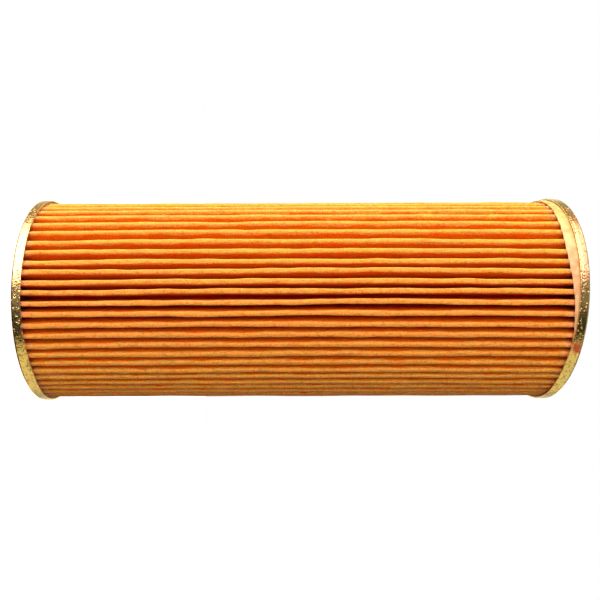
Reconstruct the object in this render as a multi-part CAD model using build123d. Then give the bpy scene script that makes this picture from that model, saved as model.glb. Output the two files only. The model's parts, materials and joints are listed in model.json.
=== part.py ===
from build123d import *
from math import cos, pi, radians, sin, sqrt
import os

# Pleated filter element, standing on its bottom gasket. The axis is +Z and the gasket's underside is at z = 0.
# All lengths are in millimetres.

# Overall
cap_to_cap = 180.5  # along the axis, from outer face to outer face
cap_outer_r = 36.0

# End caps: shallow cups pressed from thin sheet, with a collar turned in round the centre hole
cap_sheet = 0.5
skirt_height = 3.1
rim_bevel = 0.6  # the tight bend between face and skirt, sharp inside and drawn as one facet outside
collar_bore_r = 17.5
collar_height = 4.0
top_cap_lean_deg = 3.0  # the top cap is set askew in its adhesive, its +X side nearer the pleats

# Adhesive that bonds the folds into each cap and stands a little proud of the skirt's edge
skirt_clearance = 0.1  # between the skirt's inside and the adhesive, once the lean is allowed for
bottom_bead_height = 0.2  # past the edge of the bottom skirt
top_bead_height = 1.4  # past the edge of the top skirt, on the axis
bead_step = 0.25  # from the rim of the adhesive in to the crests of the folds

# Folded paper
pleat_count = 60
paper_thickness = 0.8
crest_flats = 4  # facets that turn the paper round at each crest

# Perforated centre tube, rolled from strip and closed with a lap seam inside
core_wall = 0.6
collar_clearance = 0.1  # between the tube and the collars inside its ends, once the lean is allowed for
core_end_gap = 0.1  # between the tube's top and the lowest side of the leaning cap
core_fold_gap = 0.3  # between the tube and the roots of the folds
slot_columns = 6
slot_rows = 5
slot_width = 4.0
slot_height = 20.0
slot_margin = 14.0  # plain tube beyond the first and last row
seam_width = 4.0
seam_thickness = 0.6
seam_margin = 7.0  # from the end of each collar to the end of the seam
punch_reach = 1.2  # how far the slot punch reaches past the tube's inside, inwards and outwards

# Flat rubber gaskets glued round the holes on the outer faces
gasket_setback = 0.5  # from the edge of the cap's hole out to the gasket
gasket_width = 6.5
gasket_thickness = 2.0

# Worked out from the sizes above
lean = radians(top_cap_lean_deg)
bottom_face = gasket_thickness
top_face = bottom_face + cap_to_cap
adhesive_r = cap_outer_r - cap_sheet - skirt_height * sin(lean) - skirt_clearance
media_outer_r = adhesive_r - bead_step
media_bottom = bottom_face + skirt_height + bottom_bead_height
media_top = top_face - skirt_height - top_bead_height
core_inner_r = collar_bore_r + cap_sheet + collar_height * sin(lean) + collar_clearance
core_outer_r = core_inner_r + core_wall
core_bottom = bottom_face + cap_sheet
core_top = top_face - cap_sheet - core_outer_r * sin(lean) - core_end_gap
media_inner_r = core_outer_r + core_fold_gap

# A cap and its gasket are drawn with the cap's outer face at z = 0 and +Z into the element, then set in place
bottom_seat = Location((0, 0, bottom_face))
top_seat = Location((0, 0, top_face), (0, 180 + top_cap_lean_deg, 0))


def ring(inner_r, outer_r, low, high):
    """A plain ring on the axis between two heights."""
    section = Pos(inner_r, low) * Rectangle(outer_r - inner_r, high - low, align=(Align.MIN, Align.MIN))
    return revolve(Plane.XZ * section, Axis.Z)


def end_cap():
    """Cup pressed from one sheet: collar, flat face, rim and skirt."""
    wall_r = cap_outer_r - cap_sheet
    collar_outer_r = collar_bore_r + cap_sheet
    section = Polyline(
        (collar_bore_r, 0),
        (cap_outer_r - rim_bevel, 0),
        (cap_outer_r, rim_bevel),
        (cap_outer_r, skirt_height),
        (wall_r, skirt_height),
        (wall_r, cap_sheet),
        (collar_outer_r, cap_sheet),
        (collar_outer_r, collar_height),
        (collar_bore_r, collar_height),
        close=True,
    )
    return revolve(Plane.XZ * make_face(section), Axis.Z)


def gasket():
    """Flat rubber ring on the outer face of a cap."""
    inner_r = collar_bore_r + gasket_setback
    return ring(inner_r, inner_r + gasket_width, -gasket_thickness, 0)


def adhesive(seat, folds_end, past_cap):
    """Disc of adhesive from the square end of the folds to the inside of a cap, which may lean."""
    low, high = sorted((folds_end, past_cap))
    beyond_cap = seat * ring(0, 2 * cap_outer_r, -2 * cap_outer_r, cap_sheet)
    return ring(core_outer_r, adhesive_r, low, high) - beyond_cap


def turned(point, angle):
    """A flat point turned about the axis."""
    return Vector(point.X * cos(angle) - point.Y * sin(angle), point.X * sin(angle) + point.Y * cos(angle))


def fold_points():
    """Points of one fold's two skins, as (upstream, downstream), for a fold whose crest is on the +X axis.

    A flank's upstream skin leaves the crest's round at a tangent and ends in the sharp crease at the root. Its
    downstream skin is parallel to it, one paper thickness away, so it starts in the crease at the round's centre.
    """
    half_pitch = pi / pleat_count
    crest_crease = Vector(media_outer_r - paper_thickness, 0)
    root_ray = turned(Vector(1, 0), half_pitch)
    root_crease = root_ray * (media_inner_r + paper_thickness)

    span = root_crease - crest_crease
    share = paper_thickness / span.length
    along = span.normalized()
    normal = along * share + Vector(along.Y, -along.X) * sqrt(1 - share**2)
    flank = (root_crease - crest_crease - normal * paper_thickness).normalized()
    root_corner = crest_crease + flank * (media_inner_r - crest_crease.dot(root_ray)) / flank.dot(root_ray)

    half_turn = radians(normal.get_angle(Vector(1, 0)))
    crest = [
        crest_crease + turned(Vector(paper_thickness, 0), half_turn * (2 * step / crest_flats - 1))
        for step in range(crest_flats + 1)
    ]
    other_corner = turned(Vector(root_corner.X, -root_corner.Y), 2 * half_pitch)
    return crest + [root_crease], [crest_crease, root_corner, other_corner]


def pleated_media():
    """One paper sheet folded to and fro round the axis, of one thickness all the way."""
    skins = [
        Polyline(
            *[turned(point, 2 * pi * fold / pleat_count) for fold in range(pleat_count) for point in points],
            close=True,
        )
        for points in fold_points()
    ]
    upstream, downstream = (Wire(skin.edges()) for skin in skins)
    section = Pos(0, 0, media_bottom) * Face(upstream, [downstream])
    return extrude(section, amount=media_top - media_bottom, dir=(0, 0, 1))


def core_tube():
    """Strip rolled to a tube, with rows of punched slots and, between two columns, a lap seam along the inside."""
    first_row = core_bottom + slot_margin + slot_height / 2
    last_row = core_top - slot_margin - slot_height / 2
    row_pitch = (last_row - first_row) / (slot_rows - 1)
    punch = Box(2 * punch_reach, slot_width, slot_height)
    punches = [
        Pos(0, 0, first_row + row * row_pitch) * column * punch
        for row in range(slot_rows)
        for column in PolarLocations(core_inner_r, slot_columns, start_angle=180 / slot_columns)
    ]
    seam_bottom = bottom_face + collar_height + seam_margin
    seam_top = top_face - collar_height - seam_margin
    lap_ring = ring(core_inner_r - seam_thickness, core_inner_r + core_wall / 2, seam_bottom, seam_top)
    lap_strip = Pos(core_inner_r, 0, 0) * Box(core_inner_r, seam_width, 2 * seam_top)
    return ring(core_inner_r, core_outer_r, core_bottom, core_top) - punches + (lap_ring & lap_strip)


nodes = {
    "bottom_end_cap": bottom_seat * end_cap(),
    "top_end_cap": top_seat * end_cap(),
    "bottom_adhesive": adhesive(bottom_seat, media_bottom, 0),
    "top_adhesive": adhesive(top_seat, media_top, top_face + cap_outer_r),
    "pleated_media": pleated_media(),
    "core_tube": core_tube(),
    "bottom_gasket": bottom_seat * gasket(),
    "top_gasket": top_seat * gasket(),
}

os.makedirs("parts", exist_ok=True)
for name, solid in nodes.items():
    export_step(solid, f"parts/{name}.step")
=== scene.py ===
import json
import math
import random

import bmesh
import bpy
from mathutils import Matrix, Vector, noise


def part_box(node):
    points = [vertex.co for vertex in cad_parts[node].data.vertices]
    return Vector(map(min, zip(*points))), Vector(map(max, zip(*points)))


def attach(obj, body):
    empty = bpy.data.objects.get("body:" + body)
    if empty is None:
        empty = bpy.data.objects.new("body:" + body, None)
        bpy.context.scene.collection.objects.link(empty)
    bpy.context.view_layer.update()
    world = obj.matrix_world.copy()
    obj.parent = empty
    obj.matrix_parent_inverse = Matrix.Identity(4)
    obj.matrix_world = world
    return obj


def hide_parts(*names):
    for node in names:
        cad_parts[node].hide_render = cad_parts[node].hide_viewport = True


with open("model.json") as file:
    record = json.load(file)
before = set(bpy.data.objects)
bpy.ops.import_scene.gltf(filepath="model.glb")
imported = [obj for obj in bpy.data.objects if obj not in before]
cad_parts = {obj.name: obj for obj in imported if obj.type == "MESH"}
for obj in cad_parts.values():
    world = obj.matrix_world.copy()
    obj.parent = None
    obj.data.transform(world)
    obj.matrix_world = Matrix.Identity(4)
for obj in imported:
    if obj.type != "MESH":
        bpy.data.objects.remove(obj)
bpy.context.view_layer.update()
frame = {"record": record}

bl_info = {
    "name": "Pleated Filter Element",
    "version": (1, 0, 0),
    "blender": (4, 5, 0),
    "location": "3D View > Sidebar > Filter Element",
    "description": "Dresses a pleated filter element and sets it in a plain studio",
    "category": "Object",
}

MM = 0.001
WELD = 0.001 * MM


# Places and sizes that the frame gives


def mount(name):
    """The record's mount of that name."""
    return next(m for m in frame["record"]["mounts"] if m["name"] == name)


def seat(bore_name):
    """Where a cap goes that is drawn with its outer face at z = 0 and +Z into the element."""
    bore = mount(bore_name)
    outward = Vector(bore["axis"])
    face = Vector(bore["pos_m"]) + outward * bore["dims"]["length_mm"] * MM / 2
    return Matrix.Translation(face) @ Matrix.Rotation(math.atan2(-outward.x, -outward.z), 4, "Y")


BOTTOM_SEAT = seat("bottom_bore")
TOP_SEAT = seat("top_bore")
BORE_R = mount("bottom_bore")["dims"]["r_mm"] * MM
COLLAR_HEIGHT = mount("bottom_bore")["dims"]["length_mm"] * MM
CAP_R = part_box("bottom_end_cap")[1].x
GASKET_OUTER_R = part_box("bottom_gasket")[1].x
GASKET_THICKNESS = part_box("bottom_gasket")[1].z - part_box("bottom_gasket")[0].z
ADHESIVE_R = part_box("bottom_adhesive")[1].x
MEDIA_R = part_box("pleated_media")[1].x
MEDIA_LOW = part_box("pleated_media")[0].z
MEDIA_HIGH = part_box("pleated_media")[1].z
CORE_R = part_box("core_tube")[1].x
CORE_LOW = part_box("core_tube")[0].z
CORE_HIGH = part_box("core_tube")[1].z


# Settings that the steps read, kept on the scene


def length(name, description, default):
    """A size in metres."""
    return bpy.props.FloatProperty(
        name=name, description=description, default=default, precision=5, unit="LENGTH"
    )


def angle(name, description, degrees):
    """An angle, given here in degrees."""
    return bpy.props.FloatProperty(
        name=name, description=description, default=math.radians(degrees), unit="ROTATION"
    )


def share(name, description, default):
    """A share from 0 to 1."""
    return bpy.props.FloatProperty(
        name=name, description=description, default=default, min=0, max=1, subtype="FACTOR"
    )


def colour(name, description, default):
    """A linear colour."""
    return bpy.props.FloatVectorProperty(
        name=name, description=description, default=default, size=3, min=0, max=1, subtype="COLOR"
    )


class MediaSettings(bpy.types.PropertyGroup):
    pleats: bpy.props.IntProperty(name="Pleats", description="Folds round the element", default=60, min=12)
    first_crest: angle("First crest", "Where the first crest stands, from the +X axis", 1.1)
    paper: length("Paper", "Thickness of the paper", 0.8 * MM)
    crest_bend: length("Crest bend", "Radius of the paper's middle where it turns at a crest", 0.43 * MM)
    root_bend: length("Root bend", "Radius of the paper's middle where it turns at a root", 0.48 * MM)
    inner_gap: length("Gap to the core", "From the core tube out to the roots", 0.3 * MM)
    embedded: length("Embedded", "How far the folds reach into the adhesive at each end", 1.6 * MM)
    bunching: length("Bunching", "How far groups of folds are pushed together or apart", 1.76 * MM)
    uneven: length("Unevenness", "How far a single crest strays sideways", 0.14 * MM)
    sway: length("Sway", "Slow sideways wave along a crest", 0.3 * MM)
    ripple: length("Ripple", "Short sideways wave along a crest", 0.16 * MM)
    bow: length("Bow", "How far the folds' ends stand aside from their middles", 0.55 * MM)
    dip: length("Dip", "How far a crest falls below its full height in places", 0.35 * MM)
    pinch: share("Pinch", "How much a crest's width varies along it", 0.3)
    squareness: share("Squareness", "How flat a crest is, from 0, round, to 1, square", 0.35)
    levels: bpy.props.IntProperty(name="Levels", description="Divisions along the folds", default=100, min=8)
    # The crest colour is a painted highlight, and the flank and root colours are painted shade, darker and
    # redder deeper in the folds.
    light: colour("Crest colour", "Paper at the crests", (0.88, 0.37, 0.055))
    flank: colour("Flank colour", "Paper on the flanks, just below the crests", (0.86, 0.16, 0.001))
    deep: colour("Root colour", "Paper deep in the folds", (0.82, 0.05, 0.001))
    soaked: colour("Soaked colour", "Paper at its ends, soaked with adhesive", (0.88, 0.38, 0.14))
    brown: colour("Grain colour", "Darker fibres of the paper", (0.42, 0.10, 0.001))
    pale: colour("Fibre colour", "Paler fibres on the crests", (0.94, 0.50, 0.12))
    torn: colour("Torn colour", "Paper where its skin is torn", (0.82, 0.46, 0.22))


class CapSettings(bpy.types.PropertyGroup):
    sheet: length("Sheet", "Thickness of the steel sheet", 0.5 * MM)
    skirt: length("Skirt", "Height of the skirt", 3.1 * MM)
    bend: length("Rim bend", "Outer radius between face and skirt", 0.9 * MM)
    bore_bend: length("Bore bend", "Outer radius between face and collar", 0.45 * MM)
    cut_edge: length("Cut edge", "Rounding of the sheet's cut edges", 0.12 * MM)
    groove: length("Groove", "Depth of the groove behind the skirt's lip", 0.05 * MM)
    lip: length("Lip", "From the groove to the skirt's edge", 0.5 * MM)
    earing: length("Earing", "How much higher the skirt was drawn on one side", 0.85 * MM)
    ear_at: angle("Ear", "Where the skirt is highest, from the +X axis", -48)
    ear_width: angle("Ear width", "Half-width of that side", 22)
    wobble: length("Wobble", "How far the skirt strays from a true round", 0.06 * MM)
    gold: colour("Plating", "Yellow plating", (0.95, 0.69, 0.25))
    olive: colour("Olive tint", "Greener places in the plating", (0.78, 0.62, 0.24))
    stain: colour("Stain", "Dull stains in the plating", (0.16, 0.11, 0.05))
    # Colour of a reddish, less metallic patch on the top cap's skirt.
    red_patch: colour("Smear", "Adhesive smeared over the plating", (0.56, 0.10, 0.03))
    rose: colour("Rose tint", "Redder places in the plating", (0.90, 0.52, 0.20))


class AdhesiveSettings(bpy.types.PropertyGroup):
    bulge: length("Bulge", "How far the bead swells past its wall where nothing holds it", 0.2 * MM)
    climb: length("Climb", "How far the adhesive creeps up the crests", 0.3 * MM)
    ripple: length("Ripple", "Unevenness of the bead", 0.16 * MM)
    sink: length("Sink", "How far the adhesive has sunk between the folds", 1.3 * MM)
    bottom_drop: length("Bottom drop", "How far the bottom bead stays below the folds' even end", 0.4 * MM)
    spill: length("Spill", "How much further the top bead runs down on one side", 1.3 * MM)
    spill_at: angle("Spill side", "Where it runs down furthest, from the +X axis", -117)
    spill_width: angle("Spill width", "Half-width of that side", 24)
    top_drop: length("Top drop", "How far the top bead stays above the folds' even end elsewhere", 0.3 * MM)
    pale: colour("Pale", "Adhesive where it is thick", (0.70, 0.44, 0.20))
    # Painted shade: near-black adhesive deep between the folds.
    fold_shade: colour("Grimy", "Adhesive deep between the folds", (0.10, 0.02, 0.01))
    amber: colour("Amber", "Adhesive where it has soaked into paper", (0.62, 0.30, 0.10))


class CoreSettings(bpy.types.PropertyGroup):
    wall: length("Wall", "Thickness of the tube", 0.6 * MM)
    columns: bpy.props.IntProperty(name="Slot columns", description="Columns of slots", default=6, min=1)
    rows: bpy.props.IntProperty(name="Slot rows", description="Rows of slots", default=5, min=2)
    slot_width: length("Slot width", "Width of a slot", 4 * MM)
    slot_height: length("Slot height", "Height of a slot", 20 * MM)
    slot_round: length("Slot corner", "Radius of a slot's corners", 1.0 * MM)
    margin: length("Margin", "Plain tube beyond the first and last row", 14 * MM)
    seam_width: length("Seam width", "Width of the lap seam", 4 * MM)
    seam_margin: length("Seam margin", "From each collar's end to the seam's end", 7 * MM)
    seam_sink: length("Seam sink", "How far the seam is pressed into the tube", 0.1 * MM)
    seam_edge: length("Seam edge", "Rounding of the seam's edges", 0.12 * MM)
    zinc: colour("Zinc", "Galvanised steel", (0.62, 0.63, 0.64))


class GasketSettings(bpy.types.PropertyGroup):
    setback: length("Setback", "From the edge of the cap's hole to the gasket", 0.5 * MM)
    edge: length("Edge", "Rounding of the gasket's edges", 0.22 * MM)
    rubber: colour("Rubber", "Black rubber", (0.018, 0.018, 0.019))
    bloom: colour("Bloom", "Pale bloom on the rubber", (0.10, 0.10, 0.095))


class StudioSettings(bpy.types.PropertyGroup):
    distance: length("Camera distance", "From the element's axis", 242.6 * MM)
    height: length("Camera height", "Above the floor", 83.4 * MM)
    pan: angle("Pan", "Turn of the camera away from the top cap", 0.14)
    tilt: angle("Tilt", "Turn of the camera across the element", -0.04)
    roll: angle("Roll", "Turn of the camera about its own axis", -0.16)
    shift: bpy.props.FloatProperty(
        name="Shift", description="Sideways shift of the frame, as a share of its width", default=0.05
    )
    lens: bpy.props.FloatProperty(
        name="Lens", description="Focal length on a 36 mm sensor", default=39.9, unit="CAMERA"
    )
    floor_reach: length("Floor reach", "Radius of the floor", 600 * MM)
    floor: colour("Floor", "Pale floor", (0.9, 0.9, 0.9))
    glow: bpy.props.FloatProperty(
        name="Glow", description="Light that the floor gives off", default=0.85, min=0
    )


class FilterElementSettings(bpy.types.PropertyGroup):
    media: bpy.props.PointerProperty(type=MediaSettings)
    cap: bpy.props.PointerProperty(type=CapSettings)
    adhesive: bpy.props.PointerProperty(type=AdhesiveSettings)
    core: bpy.props.PointerProperty(type=CoreSettings)
    gasket: bpy.props.PointerProperty(type=GasketSettings)
    studio: bpy.props.PointerProperty(type=StudioSettings)


# Places on the crests where the paper's skin is torn, each with its middle and its reach along x, y and z
TORN_PLACES = (
    ((33.5 * MM, -8.5 * MM, 158 * MM), (3 * MM, 3 * MM, 4 * MM)),
    ((33.5 * MM, -8.5 * MM, 168 * MM), (3 * MM, 3 * MM, 5 * MM)),
    ((33.0 * MM, -10.5 * MM, 92 * MM), (2 * MM, 2 * MM, 2.5 * MM)),
)


# Shader maths


class Wire:
    """A value in a finish. Python's operators on it add Math nodes."""

    def __init__(self, finish, socket):
        self.finish = finish
        self.socket = socket

    def maths(self, operation, *values):
        inputs = dict(enumerate(values))
        return self.finish.node("ShaderNodeMath", {"operation": operation}, inputs)

    def __add__(self, other):
        return self.maths("ADD", self, other)

    def __radd__(self, other):
        return self.maths("ADD", other, self)

    def __sub__(self, other):
        return self.maths("SUBTRACT", self, other)

    def __rsub__(self, other):
        return self.maths("SUBTRACT", other, self)

    def __mul__(self, other):
        return self.maths("MULTIPLY", self, other)

    def __rmul__(self, other):
        return self.maths("MULTIPLY", other, self)

    def __pow__(self, other):
        return self.maths("POWER", self, other)


class Finish:
    """A procedural material on Object coordinates, with one Principled surface."""

    def __init__(self, name):
        self.material = bpy.data.materials.new(name)
        self.material.use_nodes = True
        self.tree = self.material.node_tree
        self.tree.nodes.clear()

    def node(self, kind, settings, inputs, output=0):
        """Adds one node: its settings first, then the values or links of its sockets."""
        made = self.tree.nodes.new(kind)
        for key, value in settings.items():
            setattr(made, key, value)
        for key, value in inputs.items():
            if isinstance(value, Wire):
                self.tree.links.new(value.socket, made.inputs[key])
            else:
                made.inputs[key].default_value = value
        return Wire(self, made.outputs[output]) if made.outputs else None

    def place(self, seat_matrix=None):
        """Object coordinates in metres, or those of a cap in its own seat."""
        coordinates = self.node("ShaderNodeTexCoord", {}, {}, "Object")
        if seat_matrix is None:
            return coordinates
        turned = seat_matrix.inverted()
        return self.node(
            "ShaderNodeMapping",
            {},
            {"Vector": coordinates, "Location": turned.to_translation(), "Rotation": turned.to_euler()},
        )

    def parts(self, place):
        """x, y and z of a place, each as a value."""
        return [self.node("ShaderNodeSeparateXYZ", {}, {"Vector": place}, axis) for axis in "XYZ"]

    def vector(self, x, y, z):
        return self.node("ShaderNodeCombineXYZ", {}, {"X": x, "Y": y, "Z": z})

    def speckle(self, place, size, detail=2.0, stretch=(1, 1, 1), rough=0.5):
        """Noise from 0 to 1 whose features are about that size, in metres."""
        scaled = self.node(
            "ShaderNodeVectorMath", {"operation": "MULTIPLY"}, {0: place, 1: [s / size for s in stretch]}
        )
        return self.node(
            "ShaderNodeTexNoise", {}, {"Vector": scaled, "Scale": 1.0, "Detail": detail, "Roughness": rough}
        )

    def between(self, value, low, high):
        """0 below low, 1 above high and smooth between."""
        return self.node(
            "ShaderNodeMapRange",
            {"interpolation_type": "SMOOTHSTEP"},
            {"Value": value, "From Min": low, "From Max": high, "To Min": 0.0, "To Max": 1.0},
        )

    def mixed(self, mask, first, second):
        """first where the mask is 0, second where it is 1."""
        first, second = (value if isinstance(value, Wire) else (*value, 1) for value in (first, second))
        factor, colour_a, colour_b, result = 0, 6, 7, 2
        return self.node(
            "ShaderNodeMix", {"data_type": "RGBA"}, {factor: mask, colour_a: first, colour_b: second}, result
        )

    def spot(self, place, middle, reach):
        """Distance from a middle, as a share of the reach along each axis."""
        off = self.node("ShaderNodeVectorMath", {"operation": "SUBTRACT"}, {0: place, 1: middle})
        scaled = self.node("ShaderNodeVectorMath", {"operation": "DIVIDE"}, {0: off, 1: reach})
        return self.node("ShaderNodeVectorMath", {"operation": "LENGTH"}, {0: scaled}, "Value")

    def bump(self, height, distance, strength=1.0):
        return self.node(
            "ShaderNodeBump", {}, {"Height": height, "Distance": distance, "Strength": strength}
        )

    def surface(self, **inputs):
        """Ends the finish with a Principled BSDF. Names with spaces are given with underscores."""
        named = {key.replace("_", " "): value for key, value in inputs.items()}
        shader = self.node("ShaderNodeBsdfPrincipled", {}, named)
        self.node("ShaderNodeOutputMaterial", {}, {"Surface": shader})
        return self.material


# Noise on the paper is drawn out along the folds
ALONG_FOLDS = (1, 1, 0.7)


def paper_finish(settings):
    """Resin-treated filter paper: matt and uneven, with a painted highlight on the crests and painted shade,
    darker and redder, deep in the folds.
    """
    finish = Finish("filter_paper")
    place = finish.place()
    x, y, z = finish.parts(place)
    radius = (x * x + y * y) ** 0.5
    fibre_size, lump_size, swell_size = 0.50 * MM, 1.1 * MM, 5 * MM
    crest_depth, crest_top = 1.4 * MM, 0.8 * MM
    flank_depth, flank_top = 10 * MM, 3.4 * MM
    soaked_reach = 2.4 * MM
    fibres = finish.speckle(place, fibre_size)
    lumps = finish.speckle(place, lump_size, stretch=ALONG_FOLDS)
    swells = finish.speckle(place, swell_size, stretch=ALONG_FOLDS)
    # Painted light: the crest band is a painted highlight with a ragged lower edge, and the darker, redder
    # paper deeper in the folds is painted shade.
    highlight_edge = radius + (lumps - 0.5) * (1.2 * MM) + (swells - 0.5) * (2.4 * MM)
    crest = finish.between(highlight_edge, MEDIA_R - crest_depth, MEDIA_R - crest_top)
    clear_of_root_shade = finish.between(radius, MEDIA_R - flank_depth, MEDIA_R - flank_top)
    base = finish.mixed(clear_of_root_shade, settings.deep, settings.flank)
    base = finish.mixed(crest, base, settings.light)
    base = finish.mixed(finish.between(fibres, 0.48, 0.70) * 0.4, base, settings.brown)
    base = finish.mixed(finish.between(lumps, 0.52, 0.72) * 0.3, base, settings.brown)
    base = finish.mixed(finish.between(fibres, 0.46, 0.26) * crest * 0.5, base, settings.pale)
    off_middle = z - (MEDIA_LOW + MEDIA_HIGH) / 2
    from_middle = off_middle.maths("ABSOLUTE", off_middle)
    reach = (MEDIA_HIGH - MEDIA_LOW) / 2
    soaked = finish.between(from_middle + (swells - 0.5) * (3 * MM), reach - soaked_reach, reach)
    base = finish.mixed(soaked * crest * 0.8, base, settings.soaked)
    for middle, size in TORN_PLACES:
        torn = finish.between(finish.spot(place, middle, size) + lumps * 1.6, 1.55, 1.25)
        base = finish.mixed(torn * 0.7, base, settings.torn)
    return finish.surface(
        Base_Color=base,
        Roughness=0.62 + lumps * 0.2,
        Specular_IOR_Level=0.2,
        Subsurface_Weight=0.7,
        Subsurface_Radius=(1.0, 0.34, 0.04),
        Subsurface_Scale=1.2 * MM,
        Normal=finish.bump(fibres * 0.7 + lumps + swells, 0.45 * MM),
    )


# How fine the rolled streaks are out from the axis, up the skirt and along the sheet
STREAKS_PER_METRE = (9000, 7000, 120)


def plated_finish(name, settings, seat_matrix, red_patches):
    """Yellow-plated sheet: bright and uneven, with rolled streaks, tinted places and a reddish, less metallic
    patch.
    """
    finish = Finish(name)
    place = finish.place(seat_matrix)
    x, y, z = finish.parts(place)
    radius = (x * x + y * y) ** 0.5
    peel = finish.speckle(place, 0.75 * MM)
    grain = finish.speckle(place, 0.30 * MM, 1.0)
    pits = finish.between(finish.speckle(place, 0.9 * MM, 1.0), 0.58, 0.70)
    drawn = finish.between(radius, CAP_R - 1.5 * MM, CAP_R - 0.4 * MM)
    drift = finish.speckle(place, 9 * MM)
    along = finish.vector(*(part * times for part, times in zip((radius, z, x + y), STREAKS_PER_METRE)))
    streaks = finish.node("ShaderNodeTexNoise", {}, {"Vector": along, "Scale": 1.0, "Detail": 2.0})
    tint = finish.mixed(finish.between(drift, 0.42, 0.62), settings.gold, settings.olive)
    rosy = finish.speckle(place, 6 * MM, stretch=(1.3, 1, 1))
    tint = finish.mixed(finish.between(rosy, 0.56, 0.72) * 0.6, tint, settings.rose)
    stains = finish.between(finish.speckle(place, 1.3 * MM, 3.0), 0.54, 0.68)
    base = finish.mixed(stains * 0.5, tint, settings.stain)
    # A reddish patch that is less metallic than the plating round it.
    red_patch_mask = 0.0
    for middle, reach in red_patches:
        red_patch_mask = finish.between(finish.spot(place, middle, reach) + peel * 0.9, 1.5, 0.9) + red_patch_mask
    if red_patches:
        base = finish.mixed(red_patch_mask, base, settings.red_patch)
    skin = (peel + grain * 0.4 - pits) * (drawn * 0.8 + 0.2) + streaks * 0.15
    return finish.surface(
        Base_Color=base,
        Metallic=1.0 - red_patch_mask * 0.7,
        Roughness=0.11 + streaks * 0.09 + stains * 0.18,
        Normal=finish.bump(skin, 0.11 * MM),
    )


def adhesive_finish(settings):
    """Cured adhesive: pale and waxy where thick, amber where it has soaked in, with painted shade deep
    between the folds.
    """
    finish = Finish("adhesive")
    place = finish.place()
    clouds = finish.speckle(place, 3 * MM, 3.0)
    pores = finish.speckle(place, 0.6 * MM)
    x, y, z = finish.parts(place)
    # The adhesive deep between the folds is darkened with painted shade.
    between_folds = finish.between((x * x + y * y) ** 0.5, ADHESIVE_R - 0.6 * MM, ADHESIVE_R - 2.4 * MM)
    base = finish.mixed(finish.between(clouds, 0.40, 0.66), settings.pale, settings.amber)
    base = finish.mixed(between_folds, base, settings.fold_shade)
    return finish.surface(
        Base_Color=base,
        Roughness=0.38 + pores * 0.2,
        Coat_Weight=0.15,
        Coat_Roughness=0.25,
        Normal=finish.bump(clouds * 0.8 + pores * 0.3, 0.12 * MM, 0.8),
    )


def zinc_finish(settings):
    """Galvanised strip: grey, spangled and a little dull."""
    finish = Finish("core_steel")
    place = finish.place()
    spangle = finish.node(
        "ShaderNodeTexVoronoi", {}, {"Vector": place, "Scale": 1 / (2.6 * MM)}, "Distance"
    )
    clouds = finish.speckle(place, 4 * MM, 3.0)
    base = finish.mixed(finish.between(clouds, 0.35, 0.7), settings.zinc, (0.40, 0.40, 0.41))
    return finish.surface(
        Base_Color=base,
        Metallic=1.0,
        Roughness=0.28 + spangle * 0.25,
        Normal=finish.bump(clouds + spangle * 0.3, 0.05 * MM, 0.6),
    )


def rubber_finish(settings):
    """Black rubber with a moulded grain and a pale bloom."""
    finish = Finish("gasket_rubber")
    place = finish.place()
    bloom = finish.between(finish.speckle(place, 4 * MM, 4.0), 0.48, 0.75)
    grain = finish.speckle(place, 0.35 * MM)
    return finish.surface(
        Base_Color=finish.mixed(bloom * 0.5, settings.rubber, settings.bloom),
        Roughness=0.55 + bloom * 0.25,
        Normal=finish.bump(grain, 0.04 * MM, 0.7),
    )


# Mesh tools

# Steps round the axis of the spun pieces
CAP_STEPS, GASKET_STEPS, CORE_STEPS = 240, 160, 144


def spun(section, steps):
    """A closed section of (radius, height) corners, turned all the way round Z."""
    bm = bmesh.new()
    corners = [bm.verts.new((radius, 0, height)) for radius, height in section]
    edges = [bm.edges.new(pair) for pair in zip(corners, corners[1:] + corners[:1])]
    bmesh.ops.spin(
        bm, geom=corners + edges, cent=(0, 0, 0), axis=(0, 0, 1), angle=math.tau, steps=steps, use_merge=True
    )
    bmesh.ops.remove_doubles(bm, verts=bm.verts, dist=WELD)
    bmesh.ops.recalc_face_normals(bm, faces=bm.faces)
    return bm


def run(start, end, parts):
    """Corners along a straight stretch of a section, without its end."""
    return [
        tuple(a + (b - a) * step / parts for a, b in zip(start, end))
        for step in range(parts)
    ]


def rounded(bm, edges, offset, segments):
    """Rounds some edges."""
    bmesh.ops.bevel(
        bm, geom=edges, offset=offset, segments=segments, profile=0.5, affect="EDGES", material=-1
    )


def round_ring(bm, radius, height, offset, segments):
    """Rounds the ring of edges at one corner of a spun section."""
    def on_ring(vert):
        return abs(vert.co.xy.length - radius) < 10 * WELD and abs(vert.co.z - height) < 10 * WELD

    ring = [edge for edge in bm.edges if all(on_ring(vert) for vert in edge.verts)]
    if not ring:
        raise RuntimeError(f"no ring of edges at radius {radius} and height {height}")
    rounded(bm, ring, offset, segments)


# Where the noise is read for a seed, so that no two seeds share their waves
SEED_STEP_X, SEED_STEP_Y, NOISE_LEVEL = 17.3, 9.1, 5.7

# Seeds of the waves. A wave along the folds takes one seed for each fold, counted on from these.
SWAY_SEED, RIPPLE_SEED, PINCH_SEED, BOW_SEED, DIP_SEED = 0, 70, 140, 210, 350
SIDE_SEED_STEP = 300
BEAD_SEED, BEAD_FINE_SEED, GASKET_SEED = 400, 440, 600

# Lengths of the waves along the folds
SWAY_LENGTH, RIPPLE_LENGTH, BOW_LENGTH, DIP_LENGTH = 38 * MM, 7 * MM, 20 * MM, 16 * MM


def wave(seed, *place):
    """Smooth noise from about -1 to 1 at a place given in wavelengths."""
    at = [*place, 0, 0][:3]
    return noise.noise(Vector((at[0] + SEED_STEP_X * seed, at[1] - SEED_STEP_Y * seed, at[2] + NOISE_LEVEL)))


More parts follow.
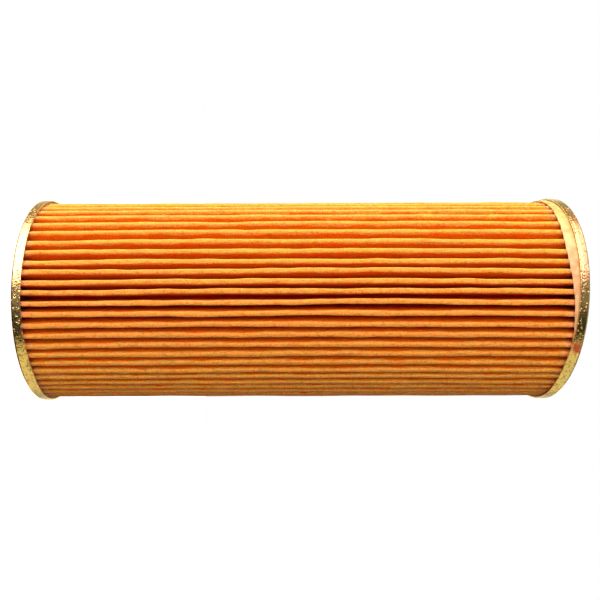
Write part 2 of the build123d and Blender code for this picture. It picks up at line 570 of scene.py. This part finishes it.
def finished(bm, name, material, slot, *nodes, smooth_deg=40):
    """Makes the piece from its bmesh, and lets it stand for its CAD nodes."""
    mesh = bpy.data.meshes.new(name)
    bm.to_mesh(mesh)
    bm.free()
    mesh.materials.append(material)
    mesh.shade_smooth()
    mesh.set_sharp_from_angle(angle=math.radians(smooth_deg))
    piece = bpy.data.objects.new(name, mesh)
    bpy.context.scene.collection.objects.link(piece)
    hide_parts(*nodes)
    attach(piece, "root")
    return piece


# Folded paper

# The folds are bunched between this many places round the ring
BUNCHES = 12
BUNCH_SEED = 44433


class Folds:
    """Where each fold's crest stands, the same for the paper and for the adhesive round it."""

    def __init__(self, settings):
        self.settings = settings
        self.pitch = math.tau / settings.pleats
        draw = random.Random(BUNCH_SEED)
        knots = [draw.uniform(-1, 1) for _ in range(BUNCHES)]
        self.strays = []
        for number in range(settings.pleats):
            knot, part = divmod(number * BUNCHES / settings.pleats, 1)
            before, after = knots[int(knot)], knots[(int(knot) + 1) % BUNCHES]
            bunched = before + (after - before) * part * part * (3 - 2 * part)
            self.strays.append(bunched * settings.bunching + draw.uniform(-1, 1) * settings.uneven)

    def index(self, x, y):
        """The fold nearest to a place, and the angle from its even crest to the place."""
        turn = (math.atan2(y, x) - self.settings.first_crest) % math.tau
        number = round(turn / self.pitch)
        return number % self.settings.pleats, turn - number * self.pitch

    def stray(self, number, z):
        """Sideways shift of a crest at a height."""
        s = self.settings
        slow = wave(number + SWAY_SEED, z / SWAY_LENGTH, number * 3.7)
        short = wave(number + RIPPLE_SEED, z / RIPPLE_LENGTH, number * 1.9)
        from_middle = (2 * z - MEDIA_LOW - MEDIA_HIGH) / (MEDIA_HIGH - MEDIA_LOW)
        return self.strays[number] + s.sway * slow + s.ripple * short + s.bow * (from_middle**2 - 0.2)


def outer_chain(settings, root_r):
    """Upstream skin of one fold, from the root before its crest to the root after it."""
    half = settings.paper / 2
    half_pitch = math.pi / settings.pleats
    crest_r = settings.crest_bend + half
    crest = Vector((MEDIA_R - crest_r, 0))
    root_skin = settings.root_bend - half
    root = Vector((root_r + half + settings.root_bend, 0))
    root.rotate(Matrix.Rotation(half_pitch, 2))
    flatness = 1 - settings.squareness
    arc = [
        crest + crest_r * Vector((max(0, math.cos(turn)) ** flatness, math.sin(turn) ** flatness))
        for turn in (math.pi / 2 * step / 4 for step in range(5))
    ]
    bottom = [
        root + root_skin * Vector((math.cos(turn + half_pitch), math.sin(turn + half_pitch)))
        for turn in (math.radians(step) for step in (270, 180))
    ]
    after = [*arc, arc[-1].lerp(bottom[0], 0.35), *bottom]
    before = [Vector((point.x, -point.y)) for point in reversed(after[1:])]
    return before + after


def inner_chain(settings, root_r):
    """Downstream skin of one fold: down one flank from the crease at the crest, and up the other."""
    half_pitch = math.pi / settings.pleats
    crease = Vector((MEDIA_R - settings.crest_bend - settings.paper / 2, 0))
    corner = Vector((root_r, 0))
    corner.rotate(Matrix.Rotation(half_pitch * 0.12, 2))
    end = Vector((root_r, 0))
    end.rotate(Matrix.Rotation(half_pitch, 2))
    after = [crease, corner, end]
    before = [Vector((point.x, -point.y)) for point in reversed(after[1:])]
    return before + after


def folded_skin(settings, chain, levels):
    """A fold's chain repeated round the axis, and drawn up from the bottom adhesive to the top."""
    low, high = MEDIA_LOW - settings.embedded, MEDIA_HIGH + settings.embedded
    turn = math.tau / settings.pleats
    bm = bmesh.new()
    points = [bm.verts.new((point.x, point.y, low)) for point in chain]
    edges = [bm.edges.new(pair) for pair in zip(points, points[1:])]
    bmesh.ops.spin(
        bm,
        geom=points + edges,
        cent=(0, 0, 0),
        axis=(0, 0, 1),
        angle=math.tau - turn,
        steps=settings.pleats - 1,
        use_duplicate=True,
    )
    bmesh.ops.rotate(
        bm, verts=bm.verts, cent=(0, 0, 0), matrix=Matrix.Rotation(settings.first_crest, 3, "Z")
    )
    bmesh.ops.remove_doubles(bm, verts=bm.verts, dist=WELD)
    rising = bm.edges[:]
    for _ in range(levels):
        made = bmesh.ops.extrude_edge_only(bm, edges=rising)["geom"]
        rising = [g for g in made if isinstance(g, bmesh.types.BMEdge) and g.is_boundary]
        raised = [g for g in made if isinstance(g, bmesh.types.BMVert)]
        bmesh.ops.translate(bm, verts=raised, vec=(0, 0, (high - low) / levels))
    return bm


# Share of a fold's height from which it counts as crest, and how its stray grows towards the crest
CREST_FROM = 0.9
STRAY_POWER = 1.3
FLANK_BOW = 0.22 * MM


def settle(vert, folds, root_r):
    """Moves a point of the even folds to where the real paper stands."""
    s = folds.settings
    x, y, z = vert.co
    radius = math.hypot(x, y)
    height = max(0.0, (radius - root_r) / (MEDIA_R - root_r))
    if height == 0:
        return
    number, turn = folds.index(x, y)
    crest = max(0.0, (height - CREST_FROM) / (1 - CREST_FROM))
    width = 1 + s.pinch * wave(number + PINCH_SEED, z / RIPPLE_LENGTH, number * 2.3) * crest
    bent = wave(number + BOW_SEED + SIDE_SEED_STEP * math.copysign(1, turn), z / BOW_LENGTH)
    bow = FLANK_BOW * bent * math.sin(math.pi * min(height, 1))
    across = radius * turn * width + folds.stray(number, z) * height**STRAY_POWER + bow
    drop = s.dip * (0.5 + 0.5 * wave(number + DIP_SEED, z / DIP_LENGTH, number * 4.1)) * height**2
    turned = folds.settings.first_crest + number * folds.pitch + across / radius
    vert.co.x = (radius - drop) * math.cos(turned)
    vert.co.y = (radius - drop) * math.sin(turned)


class FILTER_OT_media(bpy.types.Operator):
    """Fold the paper round the core, a little unevenly"""

    bl_idname = "filter_element.fold_media"
    bl_label = "Fold Media"

    def execute(self, context):
        settings = context.scene.filter_element.media
        root_r = CORE_R + settings.inner_gap
        folds = Folds(settings)
        bm = bmesh.new()
        for chain, levels in (
            (outer_chain(settings, root_r), settings.levels),
            (inner_chain(settings, root_r), settings.levels // 4),
        ):
            skin = folded_skin(settings, chain, levels)
            carried = bpy.data.meshes.new("skin")
            skin.to_mesh(carried)
            skin.free()
            bm.from_mesh(carried)
            bpy.data.meshes.remove(carried)
        open_edges = [edge for edge in bm.edges if edge.is_boundary]
        middle = (MEDIA_LOW + MEDIA_HIGH) / 2
        for end in (
            [edge for edge in open_edges if edge.verts[0].co.z < middle],
            [edge for edge in open_edges if edge.verts[0].co.z > middle],
        ):
            bmesh.ops.triangle_fill(bm, edges=end, use_beauty=True, normal=(0, 0, 1))
        bmesh.ops.recalc_face_normals(bm, faces=bm.faces)
        for vert in bm.verts:
            settle(vert, folds, root_r)
        finished(bm, "folded_paper", paper_finish(settings), "filter_paper", "pleated_media", smooth_deg=60)
        return {"FINISHED"}


# End caps

# Reddish, less metallic patches, each with its middle in the cap's own frame and its reach along x, y and z
RED_PATCHES = {
    "bottom": (),
    "top": (((-15.8 * MM, -32.3 * MM, 1.9 * MM), (2.6 * MM, 2.2 * MM, 1.8 * MM)),),
}


def ear(settings, x, y):
    """How much higher than its even edge the skirt stands at a place."""
    off = (math.atan2(y, x) - settings.ear_at) / settings.ear_width
    return settings.earing * math.exp(-(off**2))


def cap_shape(settings, seed, place):
    """A cap drawn with its outer face at z = 0 and +Z into the element."""
    wall_r = CAP_R - settings.sheet
    collar_r = BORE_R + settings.sheet
    groove_at = settings.skirt - settings.lip
    section = [
        (BORE_R, 0),
        *run((GASKET_OUTER_R, 0), (CAP_R, 0), 6),
        *run((CAP_R, 0), (CAP_R, groove_at - 3 * settings.groove), 4),
        (CAP_R, groove_at - 3 * settings.groove),
        (CAP_R - settings.groove, groove_at),
        (CAP_R, groove_at + 3 * settings.groove),
        (CAP_R, settings.skirt),
        *run((wall_r, settings.skirt), (wall_r, settings.sheet), 3),
        (wall_r, settings.sheet),
        (collar_r, settings.sheet),
        (collar_r, COLLAR_HEIGHT),
        (BORE_R, COLLAR_HEIGHT),
    ]
    bm = spun(section, CAP_STEPS)
    round_ring(bm, CAP_R, 0, settings.bend, 6)
    round_ring(bm, BORE_R, 0, settings.bore_bend, 4)
    for radius in (CAP_R, wall_r):
        round_ring(bm, radius, settings.skirt, settings.cut_edge, 2)
    for radius in (BORE_R, collar_r):
        round_ring(bm, radius, COLLAR_HEIGHT, settings.cut_edge, 2)
    for vert in bm.verts:
        radius = vert.co.xy.length
        depth = vert.co.z / settings.skirt
        if radius > wall_r - WELD and depth > 0:
            outward = vert.co.xy.normalized()
            push = settings.wobble * depth * (1 + wave(seed, outward.x * 3, outward.y * 3))
            push += 0.35 * settings.wobble * (1 + wave(seed + 5, outward.x * 14, outward.y * 14, depth))
            vert.co.xy -= outward * push
            aside = place.to_3x3() @ vert.co
            vert.co.z += depth * ear(settings, aside.x, aside.y)
            vert.co.z += 0.6 * settings.wobble * depth * wave(seed + 9, outward.x * 6, outward.y * 6)
    return bm


class FILTER_OT_caps(bpy.types.Operator):
    """Press both end caps and set them in place"""

    bl_idname = "filter_element.press_caps"
    bl_label = "Press End Caps"

    def execute(self, context):
        settings = context.scene.filter_element.cap
        for seed, (side, place) in enumerate((("bottom", BOTTOM_SEAT), ("top", TOP_SEAT))):
            bm = cap_shape(settings, seed, place)
            bmesh.ops.transform(bm, matrix=place, verts=bm.verts)
            material = plated_finish(f"{side}_cap_plating", settings, place, RED_PATCHES[side])
            finished(bm, f"{side}_cap", material, "cap_steel", f"{side}_end_cap")
        return {"FINISHED"}


# Adhesive


# How far a crest is felt to each side, and the share of the bead's radius from which it is
CREST_REACH = 1.1 * MM
CREST_SHARE = 0.93

# The sunken ring between the folds starts this far in from the bead's wall, and deepens over this width
SHOULDER = 0.3 * MM
SLOPE = 1.3 * MM

BEAD_STEPS_A_FOLD = 8

# How far past the skirt's edge the bead's swelling is in full
FREE_REACH = 0.4 * MM

# Lengths of the bead's coarse and fine unevenness
BEAD_LENGTH, BEAD_FINE_LENGTH = 4 * MM, 1.7 * MM


def adhesive_shape(settings, folds, folds_end, inward, run_down, cap_plane, skirt_edge):
    """A ring of adhesive between the folds' ends and a cap.

    inward is +1 where the folds lie above the adhesive, and -1 where they lie below. run_down gives how
    far the bead runs along the folds at an angle. cap_plane and skirt_edge give the height of the cap's
    inner face and of its skirt's edge at a place.
    """
    section = [
        *run((CORE_R, 0), (CORE_R + 1.5 * MM, 0), 2),
        *run((CORE_R + 1.5 * MM, 0), (ADHESIVE_R - 3 * MM, 0), 4),
        *run((ADHESIVE_R - 3 * MM, 0), (ADHESIVE_R, 0), 8),
        *run((ADHESIVE_R, 0), (ADHESIVE_R, -1), 8),
        (ADHESIVE_R, -1),
        (CORE_R, -1),
    ]
    bm = spun(section, folds.settings.pleats * BEAD_STEPS_A_FOLD)
    for vert in bm.verts:
        x, y, share_down = vert.co
        radius = math.hypot(x, y)
        outward = vert.co.xy.normalized()
        number, turn = folds.index(x, y)
        off_crest = radius * turn - folds.stray(number, folds_end)
        outer = max(0.0, (radius / ADHESIVE_R - CREST_SHARE) / (1 - CREST_SHARE))
        near_crest = math.exp(-((off_crest / CREST_REACH) ** 2)) * outer
        rough = wave(BEAD_SEED, x / BEAD_LENGTH, y / BEAD_LENGTH)
        rough += 0.6 * wave(BEAD_FINE_SEED, x / BEAD_FINE_LENGTH, y / BEAD_FINE_LENGTH)
        creep = settings.climb * near_crest * (0.6 + 0.5 * rough) + settings.ripple * rough
        creep += run_down(math.atan2(y, x))
        creep -= settings.sink * min(1.0, max(0.0, (ADHESIVE_R - SHOULDER - radius) / SLOPE))
        end = cap_plane(x, y)
        start = folds_end + inward * creep
        height = start + (start - end) * share_down
        shown = max(0.0, min(1.0, inward * (height - skirt_edge(x, y)) / FREE_REACH))
        band = math.sin(math.pi * min(1.0, -share_down)) if radius > ADHESIVE_R - WELD else 0
        swell = shown * (settings.bulge * (0.4 + band) + 0.7 * settings.ripple * rough)
        vert.co = (x + outward.x * swell, y + outward.y * swell, height)
    bmesh.ops.recalc_face_normals(bm, faces=bm.faces)
    return bm


def plane_height(place, depth):
    """Height of a cap's level at a depth from its outer face, as a function of x and y."""
    point = place @ Vector((0, 0, depth))
    normal = place.to_3x3() @ Vector((0, 0, 1))
    return lambda x, y: point.z - ((x - point.x) * normal.x + (y - point.y) * normal.y) / normal.z


def skirt_edge_height(cap, place):
    """Height of a skirt's edge with its ear, as a function of x and y."""
    return lambda x, y: plane_height(place, cap.skirt + ear(cap, x, y))(x, y)


class FILTER_OT_adhesive(bpy.types.Operator):
    """Bond the folds into both caps"""

    bl_idname = "filter_element.bond_folds"
    bl_label = "Bond Folds"

    def execute(self, context):
        element = context.scene.filter_element
        folds = Folds(element.media)
        material = adhesive_finish(element.adhesive)
        s = element.adhesive

        def top_run(at):
            off = ((at - s.spill_at + math.pi) % math.tau - math.pi) / s.spill_width
            return s.spill * math.exp(-(off**2)) - s.top_drop

        for side, place, folds_end, inward, run_down in (
            ("bottom", BOTTOM_SEAT, MEDIA_LOW, 1, lambda at: -s.bottom_drop),
            ("top", TOP_SEAT, MEDIA_HIGH, -1, top_run),
        ):
            bm = adhesive_shape(
                s,
                folds,
                folds_end,
                inward,
                run_down,
                plane_height(place, element.cap.sheet),
                skirt_edge_height(element.cap, place),
            )
            finished(bm, f"{side}_bond", material, "adhesive", f"{side}_adhesive", smooth_deg=70)
        return {"FINISHED"}


# Core tube


def slot_punches(s):
    """A bar with rounded corners through the tube's wall for each slot."""
    first = CORE_LOW + s.margin + s.slot_height / 2
    last = CORE_HIGH - s.margin - s.slot_height / 2
    bm = bmesh.new()
    for column in range(s.columns):
        turn = Matrix.Rotation((column + 0.5) * math.tau / s.columns, 4, "Z")
        outward = turn @ Vector((1, 0, 0))
        for row in range(s.rows):
            height = first + (last - first) * row / (s.rows - 1)
            shape = turn @ Matrix.Translation((CORE_R, 0, height)) @ Matrix.Diagonal(
                (6 * s.wall, s.slot_width, s.slot_height, 1)
            )
            made = bmesh.ops.create_cube(bm, size=1, matrix=shape)["verts"]
            corners = [
                edge
                for edge in dict.fromkeys(edge for vert in made for edge in vert.link_edges)
                if abs((edge.verts[0].co - edge.verts[1].co).normalized().dot(outward)) > 0.99
            ]
            rounded(bm, corners, s.slot_round, 4)
    return bm


def lap_seam(s, inner_r):
    """The strip's lapped edge along the inside of the tube, bent to the tube's round."""
    low = BOTTOM_SEAT.to_translation().z + COLLAR_HEIGHT + s.seam_margin
    high = TOP_SEAT.to_translation().z - COLLAR_HEIGHT - s.seam_margin
    middle = inner_r - s.wall / 2 + s.seam_sink
    bar = Matrix.Translation((middle, 0, (low + high) / 2)) @ Matrix.Diagonal(
        (s.wall, s.seam_width, high - low, 1)
    )
    bm = bmesh.new()
    bmesh.ops.create_cube(bm, size=1, matrix=bar)
    across = [edge for edge in bm.edges if abs(edge.verts[0].co.y - edge.verts[1].co.y) > WELD]
    bmesh.ops.subdivide_edges(bm, edges=across, cuts=6)
    for vert in bm.verts:
        vert.co.x -= middle - math.sqrt(middle**2 - vert.co.y**2)
    rounded(bm, [edge for edge in bm.edges if edge.calc_face_angle(0) > 1], s.seam_edge, 2)
    return bm


def cut_slots(context, piece, punches):
    """Takes the punches out of a piece for good."""
    cutter_mesh = bpy.data.meshes.new("punches")
    punches.to_mesh(cutter_mesh)
    punches.free()
    cutter = bpy.data.objects.new("punches", cutter_mesh)
    context.scene.collection.objects.link(cutter)
    cut = piece.modifiers.new("slots", "BOOLEAN")
    cut.operation = "DIFFERENCE"
    cut.solver = "EXACT"
    cut.object = cutter
    slotted = bpy.data.meshes.new_from_object(piece.evaluated_get(context.evaluated_depsgraph_get()))
    piece.modifiers.clear()
    piece.data = slotted
    bpy.data.objects.remove(cutter)
    bpy.data.meshes.remove(cutter_mesh)


class FILTER_OT_core(bpy.types.Operator):
    """Roll the perforated centre tube"""

    bl_idname = "filter_element.roll_core"
    bl_label = "Roll Core Tube"

    def execute(self, context):
        s = context.scene.filter_element.core
        inner_r = CORE_R - s.wall
        wall = [(inner_r, CORE_LOW), (CORE_R, CORE_LOW), (CORE_R, CORE_HIGH), (inner_r, CORE_HIGH)]
        tube = spun(wall, CORE_STEPS)
        piece = finished(tube, "core_sleeve", zinc_finish(s), "core_steel", "core_tube")
        cut_slots(context, piece, slot_punches(s))
        seam = lap_seam(s, inner_r)
        seam.from_mesh(piece.data)
        seam.to_mesh(piece.data)
        seam.free()
        piece.data.set_sharp_from_angle(angle=math.radians(30))
        return {"FINISHED"}


# Gaskets

# How far a gasket's walls stray from a true round
GASKET_SWELL = 0.05 * MM


class FILTER_OT_gaskets(bpy.types.Operator):
    """Glue the gaskets round the holes"""

    bl_idname = "filter_element.glue_gaskets"
    bl_label = "Glue Gaskets"

    def execute(self, context):
        settings = context.scene.filter_element.gasket
        material = rubber_finish(settings)
        inner_r = BORE_R + settings.setback
        for seed, (side, place) in enumerate((("bottom", BOTTOM_SEAT), ("top", TOP_SEAT))):
            section = [
                (inner_r, -GASKET_THICKNESS),
                *run((inner_r + 1 * MM, -GASKET_THICKNESS), (GASKET_OUTER_R - 1 * MM, -GASKET_THICKNESS), 4),
                (GASKET_OUTER_R - 1 * MM, -GASKET_THICKNESS),
                (GASKET_OUTER_R, -GASKET_THICKNESS),
                (GASKET_OUTER_R, 0),
                (inner_r, 0),
            ]
            bm = spun(section, GASKET_STEPS)
            for radius in (inner_r, GASKET_OUTER_R):
                for height in (-GASKET_THICKNESS, 0):
                    round_ring(bm, radius, height, settings.edge, 3)
            for vert in bm.verts:
                outward = vert.co.xy.normalized()
                swell = GASKET_SWELL * wave(seed + GASKET_SEED, outward.x * 4, outward.y * 4)
                vert.co.xy += outward * swell
            bmesh.ops.transform(bm, matrix=place, verts=bm.verts)
            finished(bm, f"{side}_seal", material, "gasket_rubber", f"{side}_gasket")
        return {"FINISHED"}


# Studio

CENTRE = Vector((0, 0, (MEDIA_LOW + MEDIA_HIGH) / 2))

# Each softbox as (name, azimuth of its middle, width in degrees, radiance, colour, how many metres its
# middle stands towards the top cap). Azimuth 0 is the camera's side and 90 is -X. A wash is never
# mirrored, and a glint is only mirrored.
WHITE = (1, 1, 1)
SOFTBOXES = (
    ("key_low", 37, 26, 1.8, (1.04, 0.50, 0.80), 0),
    ("key_high", 69, 38, 2.6, (0.90, 0.48, 0.55), 0),
    ("wall", 116, 56, 0.42, (1.00, 0.78, 0.58), 0),
    ("shade", -26, 22, 0.04, (1.00, 0.95, 0.90), 0),
)
WASHES = (
    ("crown", 96, 44, 3.0, (0.50, 1.42, 0.42), 0),
    ("front", 5, 12, 2.4, (1.08, 1.10, 0.95), 0),
    ("front_low", -18, 20, 1.25, (1.10, 0.60, 0.75), 0),
    ("front_high", 24, 26, 2.1, (0.95, 1.28, 1.00), 0),
    ("back", 186, 72, 1.6, (1.10, 0.84, 1.00), 0),
)
GLINTS = (
    ("key_glint", 56, 64, 3.2, WHITE, -0.45),
    ("table_glint", -90, 84, 0.85, (1.00, 0.88, 0.56), 0),
    ("room_glint", 4, 34, 0.26, (1.00, 0.90, 0.80), 0),
    ("backdrop", 180, 76, 1.0, (1.00, 0.94, 0.72), 0),
)
BOX_HEIGHT = 1.5
BOX_REACH = 0.7
TOP_SIZE = (0.7, 0.7)
TOP_LIGHT = 0.5

# Area lights at one distance hide each other in mirrors, so glints stand this much further out
GLINT_STEP = 0.02

SENSOR_WIDTH = 36  # millimetres, as the camera's lens is given
CLIP = (0.01, 50)


def area_light(name, place, size, radiance, tint):
    """A rectangular light of even radiance that faces down its own -Z, unseen by the camera."""
    data = bpy.data.lights.new(name, "AREA")
    data.shape = "RECTANGLE"
    data.size, data.size_y = size
    data.energy = radiance * math.pi * size[0] * size[1]
    data.color = tint
    light = bpy.data.objects.new(name, data)
    bpy.context.scene.collection.objects.link(light)
    light.matrix_world = place
    light.visible_camera = False
    return light


class FILTER_OT_studio(bpy.types.Operator):
    """Set the floor, the lights and the camera"""

    bl_idname = "filter_element.set_studio"
    bl_label = "Set Studio"

    def execute(self, context):
        scene = context.scene
        s = scene.filter_element.studio

        for box in (*SOFTBOXES, *WASHES, *GLINTS):
            name, azimuth, width, radiance, tint, aside = box
            turn = math.radians(azimuth)
            toward = Vector((-math.sin(turn), -math.cos(turn), 0))
            facing = toward.to_track_quat("Z", "Y").to_matrix().to_4x4()
            span = 2 * BOX_REACH * math.tan(math.radians(width / 2))
            reach = BOX_REACH + (GLINT_STEP if box in GLINTS else 0)
            place = Matrix.Translation(CENTRE + toward * reach + Vector((0, 0, aside))) @ facing
            light = area_light(name, place, (span, BOX_HEIGHT), radiance, tint)
            light.visible_diffuse = box not in GLINTS
            light.visible_glossy = box not in WASHES
        above = Matrix.Translation(CENTRE + Vector((0, 0, BOX_REACH)))
        area_light("overhead", above, TOP_SIZE, TOP_LIGHT, WHITE)

        bm = bmesh.new()
        bmesh.ops.create_circle(bm, cap_ends=True, segments=96, radius=s.floor_reach)
        mesh = bpy.data.meshes.new("floor")
        bm.to_mesh(mesh)
        bm.free()
        floor = bpy.data.objects.new("floor", mesh)
        scene.collection.objects.link(floor)
        finish = Finish("floor")
        mesh.materials.append(
            finish.surface(
                Base_Color=(*s.floor, 1), Roughness=0.9, Emission_Color=(1, 1, 1, 1), Emission_Strength=s.glow
            )
        )
        floor.visible_diffuse = False
        floor.visible_glossy = False
        floor.visible_shadow = False

        world = bpy.data.worlds.new("studio")
        world.use_nodes = True
        background = world.node_tree.nodes["Background"]
        background.inputs["Color"].default_value = (*WHITE, 1)
        background.inputs["Strength"].default_value = 1.0
        for ray in ("diffuse", "glossy", "transmission", "scatter"):
            setattr(world.cycles_visibility, ray, False)
        scene.world = world
        scene.view_settings.view_transform = "Standard"

        camera = bpy.data.cameras.new("camera")
        camera.lens = s.lens
        camera.shift_x = s.shift
        camera.sensor_width = SENSOR_WIDTH
        camera.clip_start, camera.clip_end = CLIP
        holder = bpy.data.objects.new("camera", camera)
        scene.collection.objects.link(holder)
        right, up, back = Vector((0, 0, 1)), Vector((-1, 0, 0)), Vector((0, -1, 0))
        level = Matrix((right, up, back)).transposed().to_4x4()
        panned = Matrix.Rotation(s.pan, 4, "Y")
        tilted = Matrix.Rotation(s.tilt, 4, "X")
        rolled = Matrix.Rotation(s.roll, 4, "Z")
        stand = Matrix.Translation((0, -s.distance, s.height))
        holder.matrix_world = stand @ level @ (panned @ tilted @ rolled)
        scene.camera = holder
        return {"FINISHED"}


class FILTER_PT_element(bpy.types.Panel):
    """Lists the steps that make the element"""

    bl_label = "Filter Element"
    bl_idname = "FILTER_PT_element"
    bl_space_type = "VIEW_3D"
    bl_region_type = "UI"
    bl_category = "Filter Element"

    def draw(self, context):
        for step in STEPS:
            self.layout.operator(step.bl_idname)


GROUPS = (
    MediaSettings,
    CapSettings,
    AdhesiveSettings,
    CoreSettings,
    GasketSettings,
    StudioSettings,
    FilterElementSettings,
)
STEPS = (
    FILTER_OT_core,
    FILTER_OT_media,
    FILTER_OT_adhesive,
    FILTER_OT_caps,
    FILTER_OT_gaskets,
    FILTER_OT_studio,
)


def register():
    for kind in (*GROUPS, *STEPS, FILTER_PT_element):
        bpy.utils.register_class(kind)
    bpy.types.Scene.filter_element = bpy.props.PointerProperty(type=FilterElementSettings)


def unregister():
    del bpy.types.Scene.filter_element
    for kind in reversed((*GROUPS, *STEPS, FILTER_PT_element)):
        bpy.utils.unregister_class(kind)


def main():
    register()
    bpy.ops.filter_element.roll_core()
    bpy.ops.filter_element.fold_media()
    bpy.ops.filter_element.bond_folds()
    bpy.ops.filter_element.press_caps()
    bpy.ops.filter_element.glue_gaskets()
    bpy.ops.filter_element.set_studio()


if __name__ == "__main__":
    main()
